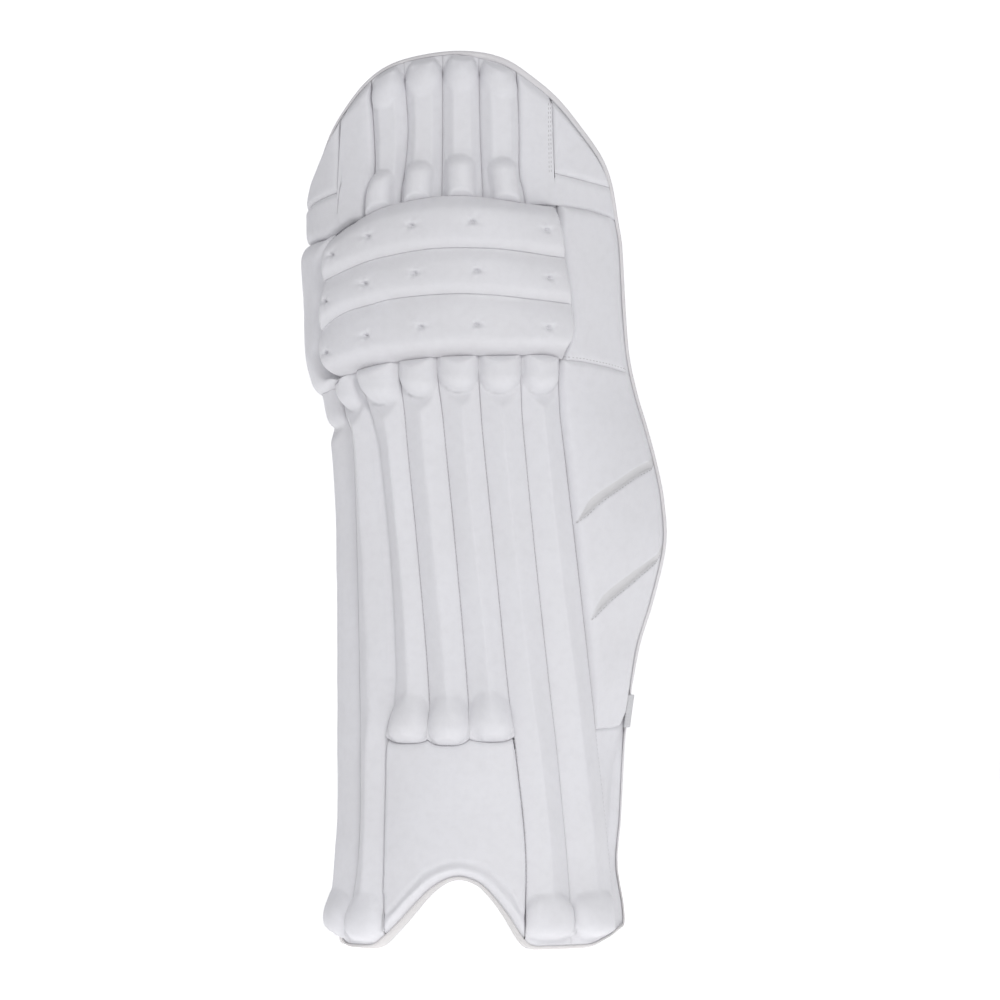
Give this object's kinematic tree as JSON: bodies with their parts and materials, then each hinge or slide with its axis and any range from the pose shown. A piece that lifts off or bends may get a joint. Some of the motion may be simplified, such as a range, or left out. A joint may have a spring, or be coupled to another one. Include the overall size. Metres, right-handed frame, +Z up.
{
  "type": "cricket batting pad",
  "caption": "Padded guard for a batter's left leg: ridged shin canes, knee rolls, side wing, arched foot, lined back and three straps.",
  "frame": {"origin": "centre of the bounding box at the level of the foot", "axes": "+Z up along the leg, -Y is the front that meets the ball, +X is towards the side wing"},
  "size_m": [0.2758, 0.144, 0.6797],
  "materials": {
    "leather": "white coated synthetic leather, satin, fine grain",
    "lining": "off-white woven lining and padded backing",
    "binding": "white folded binding round the rim, satin",
    "webbing": "white woven strap webbing"
  },
  "bodies": {
    "root": {"backing": "lining", "rim_bead": "binding", "knee_roll_upper": "leather", "knee_roll_middle": "leather", "knee_roll_lower": "leather", "shin_cane_1": "leather", "shin_cane_2": "leather", "shin_cane_3": "leather", "shin_cane_4": "leather", "shin_cane_5": "leather", "shin_cane_6": "leather", "shin_cane_7": "leather", "top_cane_1": "leather", "top_cane_2": "leather", "top_cane_3": "leather", "top_cane_4": "leather", "top_band_left": "leather", "top_band_right": "leather", "corner_panel_left": "leather", "corner_panel_right": "leather", "knee_flap": "leather", "knee_wing": "leather", "shin_wing": "leather", "instep_panel": "leather", "arch_lip": "leather", "knee_strap": "webbing", "calf_strap": "webbing", "ankle_strap": "webbing"}
  },
  "joints": []
}
